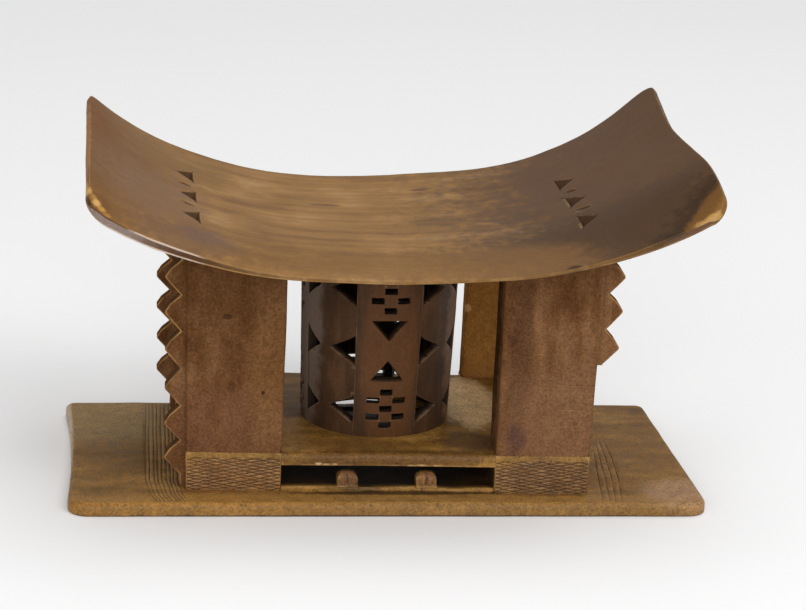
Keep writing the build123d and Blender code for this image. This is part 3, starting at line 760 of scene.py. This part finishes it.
# Stains, and painted light and shade: middle and half sizes in millimetres, hex colour, strength, softness,
# and for some the range of the normal's Z that they keep to
SEAT_STAINS_AND_LIGHT = (
    ((215, -10, 250), (165, 260, 120), "#563B24", 0.95, 0.9),   # right half, dark from handling
    ((170, -120, 235), (125, 60, 60), "#45301D", 0.85, 0.8),    # darkest in front of its marks
    ((-240, 0, 262), (95, 190, 75), "#6D4922", 0.85, 0.8),      # left end, browner
    ((-185, -50, 236), (40, 70, 40), "#7E5D40", 0.6, 0.9),      # a pinker patch before it
    ((-240, 70, 272), (28, 60, 40), "#704410", 0.9, 0.7),       # the orange brown left tip
    ((-160, 80, 232), (50, 50, 30), "#7F5C2C", 0.6, 0.8),       # paler behind the left marks
    ((-160, -122, 224), (60, 22, 18), "#6E5034", 0.75, 0.6),    # front strip, left
    ((30, -122, 206), (170, 30, 16), "#75522B", 0.8, 0.8),      # front strip, middle
    # The right front corner: a painted dark shadow line round a painted brown reflection on its curled top,
    # ochre at the very corner, lilac brown under the rim, and a painted ochre highlight along the rolled rim
    ((354, -280, 262), (214, 214, 600), "#2E1F10", 0.7, 0.1),
    ((354, -280, 262), (200, 200, 600), "#66441C", 1.0, 0.035),
    ((354, -280, 262), (188, 188, 600), "#80592A", 0.8, 0.06),
    ((252, -128, 270), (9, 34, 24), "#A67C46", 0.8, 0.7),
    ((225, -146, 245), (44, 14, 26), "#5A4232", 0.8, 0.5, (-1, 0.05)),
    ((231, -144, 254), (25, 4.5, 14), "#AE8850", 0.85, 0.5, (0.05, 0.96)),
    # The left end's rim, and the chips along its front corner that bare fresh wood
    ((-244, 20, 265), (11, 150, 45), "#96602A", 0.85, 0.25),
    ((-231, -130, 251), (13, 16, 9), "#6A4420", 0.6, 0.7),
    ((-238.5, -110, 257), (2.4, 8, 7), "#B8863E", 0.9, 0.9),
    ((-236, -119, 255), (2.6, 5.5, 4), "#CE9E58", 0.9, 0.9),
    ((-233, -125, 253), (3, 4.5, 3), "#A8783A", 0.9, 0.9),
    ((-230.5, -130, 250.5), (3.4, 5, 3.4), "#D0A25C", 0.9, 0.9),
    ((-226, -135, 248), (3.6, 3.4, 3), "#B8863E", 0.9, 0.9),
    ((-221, -139, 245), (4, 2.6, 2.6), "#A87838", 0.8, 0.9),
    # Smudges and flaws on the top, and a dark nick at its front
    ((-149, -108, 220), (24, 14, 12), "#5C4A48", 0.35, 0.8),
    ((42, -12, 208), (22, 9, 10), "#5E442C", 0.45, 0.8),
    ((104, -26, 216), (26, 12, 10), "#4E3824", 0.4, 0.8),
    ((-44, 38, 207), (14, 3, 8), "#4E3820", 0.6, 0.5),
    ((36, 81, 210), (8, 2.5, 5), "#4A3420", 0.7, 0.5),
    ((128, -142, 206), (7, 4, 5), "#2A1B10", 0.8, 0.5),
    # The front rim: painted shade in dark brown at the left, a painted lilac grey reflection at the left
    # corner, painted pale highlights along its upper and lower edges, and brown in the middle and right
    ((-150, -143, 225), (115, 30, 60), "#40260F", 0.9, 0.5, (-0.3, 0.7)),
    ((-234, -140, 244), (52, 26, 34), "#86766E", 0.8, 1.2, (-0.5, 0.3)),
    ((-178, -143, 225), (34, 2, 20), "#CDBBAA", 0.7, 0.5, (0.3, 0.9)),
    ((-215, -143, 240), (66, 30, 60), "#D6CAC2", 0.8, 0.6, (-0.9, -0.4)),
    ((60, -143, 206), (170, 30, 30), "#6A4A22", 0.8, 0.6, (-0.4, 0.6)),
)
LEG_STAINS_AND_LIGHT = (
    # Front left leg: redder at its foot, darker at its head with painted shade under the seat, lighter on its
    # right, with three dark nicks
    ((-130, -90, 62), (60, 12, 34), "#684630", 0.6, 0.7),
    ((-130, -90, 185), (60, 16, 42), "#4E331A", 0.6, 0.9),
    ((-95, -90, 105), (15, 16, 60), "#6C4B2C", 0.6, 0.8),
    ((-129, -90, 152), (4, 6, 2.2), "#3A2416", 0.8, 0.5),
    ((-125, -90, 95), (3.2, 6, 4.5), "#40291A", 0.6, 0.5),
    ((-100, -91, 91), (1.6, 6, 1.6), "#2A1A10", 0.8, 0.5),
    # Front right leg: dark on its left, lighter below and on its right, with a violet spot at its foot
    ((98, -96, 115), (9, 14, 75), "#4E3524", 0.65, 0.9),
    ((150, -98, 70), (60, 12, 50), "#76553C", 0.7, 0.8),
    ((163, -95, 125), (5, 12, 90), "#765437", 0.8, 0.5),
    ((99, -97, 56), (8, 6, 13), "#3E2830", 0.45, 0.9),
    ((92, -68, 130), (10, 24, 110), "#2E1E12", 0.85, 0.5),      # its side next to the column, painted dark as shade between leg and column
    ((-172, -77, 120), (16, 14, 130), "#4E3A26", 0.8, 0.4, (0.25, 1)),   # tops of the left fin's teeth
    ((100, 97, 120), (30, 12, 90), "#A06E36", 0.85, 0.6),       # the back right leg, painted lighter for light that reaches it past the column
    ((85, 97, 104), (4, 5, 3.5), "#CFA468", 0.8, 0.5),          # and a chip on its edge
)
COLUMN_STAINS_AND_LIGHT = (
    ((3, -55, 110), (23, 14, 80), "#57371E", 0.85, 0.3),        # the redder front band
    ((58, 0, 120), (12, 40, 90), "#846246", 0.75, 0.6),         # paler right side: painted light on the side toward the key lamp
    ((-58, -10, 125), (11, 30, 90), "#746254", 0.75, 0.6),      # greyer left side: a painted grey sheen
    ((0, 0, 215), (90, 90, 38), "#2F1E10", 0.6, 0.9),           # painted shade under the seat
)
BASE_STAINS_AND_LIGHT = (
    # The plate's top: paler at the back left with painted light and sheen, brown beside the left legs,
    # pinkish at the front right
    ((-215, 70, 11), (60, 60, 12), "#967A4C", 0.75, 0.7),
    ((-210, -20, 11), (36, 50, 12), "#6E4C14", 0.6, 0.9),
    ((205, -20, 11), (60, 90, 12), "#7E5824", 0.5, 0.8),
    ((235, -100, 11), (32, 32, 12), "#A27E5C", 0.8, 0.7),
    # The plate's front: orange at the left, lighter along its top, and a painted shadow line at the floor.
    # Its left end, painted pale as a highlight
    ((0, -116, 6), (250, 16, 14), "#8E6634", 0.6, 0.7),
    ((-150, -116, 8), (110, 16, 12), "#9C6C2A", 0.6, 0.9),
    ((0, -121, 6), (262, 6, 14), "#7C5C30", 0.55, 0.5, (-0.5, 0.6)),
    ((-40, -110, 11), (240, 14, 4), "#A47C44", 0.5, 0.9, (0.85, 1.1)),
    ((0, -121, 0), (262, 16, 1.8), "#4A382C", 0.8, 0.4),
    ((-249, 40, 9), (5, 100, 12), "#B7A08C", 0.8, 0.4),
    # The deck: painted light on it right of the column, a painted shadow in front of that, browner to the
    # front
    ((80, 32, 42), (24, 64, 12), "#E4C08C", 0.85, 0.5),
    ((66, -62, 42), (26, 18, 6), "#5B3E1F", 0.75, 0.8),
    ((-30, -72, 42), (46, 18, 8), "#785528", 0.65, 0.8),
    ((0, -92, 40), (86, 8, 9), "#5E3F19", 0.8, 0.6),
    # The knobs, and a painted shadow line along the sill's foot
    ((-31.5, -97, 24), (10, 11, 10), "#6A4628", 0.85, 0.5),
    ((30.5, -97, 24), (10, 11, 10), "#6A4628", 0.85, 0.5),
    ((6, -97, 11.3), (86, 4, 1), "#2A180C", 0.8, 0.5),
    # The plinths' nets, and the bare strips above them
    ((-130, -92, 23), (52, 8, 17), "#7F562E", 0.75, 0.4),
    ((130, -98, 23), (50, 8, 17), "#67472C", 0.7, 0.4),
    ((-130, -90, 40), (42, 8, 3.4), "#8A6630", 0.7, 0.5),
    ((130, -97, 40), (44, 8, 2.6), "#866434", 0.6, 0.6),
    ((0, 10, 16), (100, 98, 17), "#1A140F", 0.95, 0.16),        # painted shade inside the slot
    # Chips of fresh wood along the deck's lip
    ((-55, -91, 33.6), (2.4, 5, 1.2), "#D0AE80", 0.8, 0.9),
    ((-49, -91, 33.2), (3, 5, 0.7), "#C8A470", 0.7, 0.9),
    ((-42, -91, 33.4), (2, 5, 0.8), "#C8A470", 0.7, 0.9),
    ((18, -93, 33), (3, 5, 0.7), "#C09A66", 0.7, 0.9),
    ((26, -93, 33.3), (4, 5, 0.8), "#C09A66", 0.7, 0.9),
    ((38, -93, 33.2), (3, 5, 0.7), "#C09A66", 0.7, 0.9),
)

# Such a stool is cut from one log of sese, a pale tropical hardwood, which oil, smoke and hands turn brown.
# The seat, rubbed smooth by use: warm ochre with long soft streaks, hardly any pores and a satin sheen
seat_wood = oiled_wood(
    "hand_rubbed_hardwood", "X", ("#76522B", "#866132", "#936B3A", "#A27C4C"), wear_and_highlight_tone="#B08C5C",
    grime_and_shade="#3A240F", roughness=0.46, gloss=0.15, band=15, streak=0.06, fibre=0.08, mottling=0.05, pitted=0.08,
    edge_wear_and_highlight=0.35, full_depth=0.3, stains_and_painted_light=SEAT_STAINS_AND_LIGHT)
# The legs and fins, browned by smoke and seldom touched: red brown, pitted and quite without gloss
leg_wood = oiled_wood(
    "smoke_browned_hardwood", "Z", ("#51341E", "#5E3E25", "#68482E", "#755338"), wear_and_highlight_tone="#B08650",
    grime_and_shade="#1C110B", roughness=0.5, gloss=0.0, band=12, streak=0.3, fibre=0.09, mottling=0.13, pitted=0.3,
    edge_wear_and_highlight=0.7, full_depth=0.7, stains_and_painted_light=LEG_STAINS_AND_LIGHT)
# The column, soaked with oil: the darkest wood of the four, even in tone, with a trace of gloss
column_wood = oiled_wood(
    "oil_darkened_hardwood", "Z", ("#38271A", "#422D1D", "#493220", "#553B27"), wear_and_highlight_tone="#80684E",
    grime_and_shade="#1E1712", roughness=0.5, gloss=0.1, band=12, streak=0.2, fibre=0.07, mottling=0.1, pitted=0.14,
    edge_wear_and_highlight=0.6, full_depth=0.6, stains_and_painted_light=COLUMN_STAINS_AND_LIGHT)
# The plate, plinths and deck, scuffed by feet and floors: mottled ochre, pitted, with specks of dirt
base_wood = oiled_wood(
    "scuffed_hardwood", "X", ("#5E431E", "#755323", "#88622A", "#9A7238"), wear_and_highlight_tone="#AC8654",
    grime_and_shade="#22150A", roughness=0.52, gloss=0.25, band=16, streak=0.3, fibre=0.1, mottling=0.22, pitted=0.34,
    edge_wear_and_highlight=0.7, full_depth=0.7, specks=0.7, stains_and_painted_light=BASE_STAINS_AND_LIGHT)

curved_seat(seat_wood)
for side in BANDS:
    pierced_piece(f"column_{side}_band", column_wood)
for side in FIELDS:
    for level in DISCS:
        pierced_piece(f"column_{side}_disc_{level}", column_wood)
for end in ("front", "back"):
    slot_knobs(end + "_slot_knobs", base_wood)
    for side in ("left", "right"):
        member(f"{end}_{side}_leg", leg_wood, "leg_wood", LEG_ROUNDING)
        member(f"{end}_{side}_fin", leg_wood, "leg_wood", LEG_ROUNDING, cell=FIN_CELL)
for side in ("left", "right"):
    plinth(side + "_plinth", base_wood)
member("deck", base_wood, "base_wood", DECK_ROUNDING)
base_plate(base_wood)


# ---------------------------------------------------------------- studio

def studio():
    """A pale floor, a soft key from the upper right, and weaker soft light from the left, front and top."""
    bm = bmesh.new()
    bmesh.ops.create_grid(bm, x_segments=1, y_segments=1, size=FLOOR_HALF)
    mesh = bpy.data.meshes.new("floor")
    bm.to_mesh(mesh)
    bm.free()
    floor = bpy.data.objects.new("floor", mesh)
    bpy.context.scene.collection.objects.link(floor)
    # Matt paper: even and nearly white, so that only the stool's shadow shows on it
    paper = bpy.data.materials.new("pale_paper")
    paper.use_nodes = True
    shader = paper.node_tree.nodes["Principled BSDF"]
    shader.inputs["Base Color"].default_value = linear("#F4F4F4")
    shader.inputs["Roughness"].default_value = 0.9
    floor.data.materials.append(paper)
    for name, place, size, power in LAMPS:
        lamp = bpy.data.lights.new(name, "AREA")
        lamp.size = size
        lamp.energy = power
        light = bpy.data.objects.new(name, lamp)
        light.location = place
        light.rotation_euler = (-Vector(place)).to_track_quat("-Z", "Y").to_euler()
        bpy.context.scene.collection.objects.link(light)
    world = bpy.data.worlds.new("studio")
    world.use_nodes = True
    background = world.node_tree.nodes["Background"]
    background.inputs["Color"].default_value = (1, 1, 1, 1)
    background.inputs["Strength"].default_value = SKY_STRENGTH
    bpy.context.scene.world = world


def camera():
    """The camera, turned to the right by its yaw, down by its pitch and about its own line by its roll."""
    yaw, pitch, roll = (math.radians(a) for a in (CAMERA_YAW, CAMERA_PITCH, CAMERA_ROLL))
    forward = Vector((math.sin(yaw) * math.cos(pitch), math.cos(yaw) * math.cos(pitch), -math.sin(pitch)))
    right = Vector((math.cos(yaw), -math.sin(yaw), 0))
    down = forward.cross(right)
    right, down = (right * math.cos(roll) + down * math.sin(roll),
                   down * math.cos(roll) - right * math.sin(roll))
    data = bpy.data.cameras.new("camera")
    data.lens = CAMERA_LENS
    data.sensor_width = CAMERA_SENSOR
    view = bpy.data.objects.new("camera", data)
    turned = Matrix((right, -down, -forward)).transposed().to_4x4()
    view.matrix_world = Matrix.Translation(CAMERA_PLACE) @ turned
    bpy.context.scene.collection.objects.link(view)
    bpy.context.scene.camera = view


studio()
camera()
bpy.context.scene.view_settings.view_transform = "Standard"
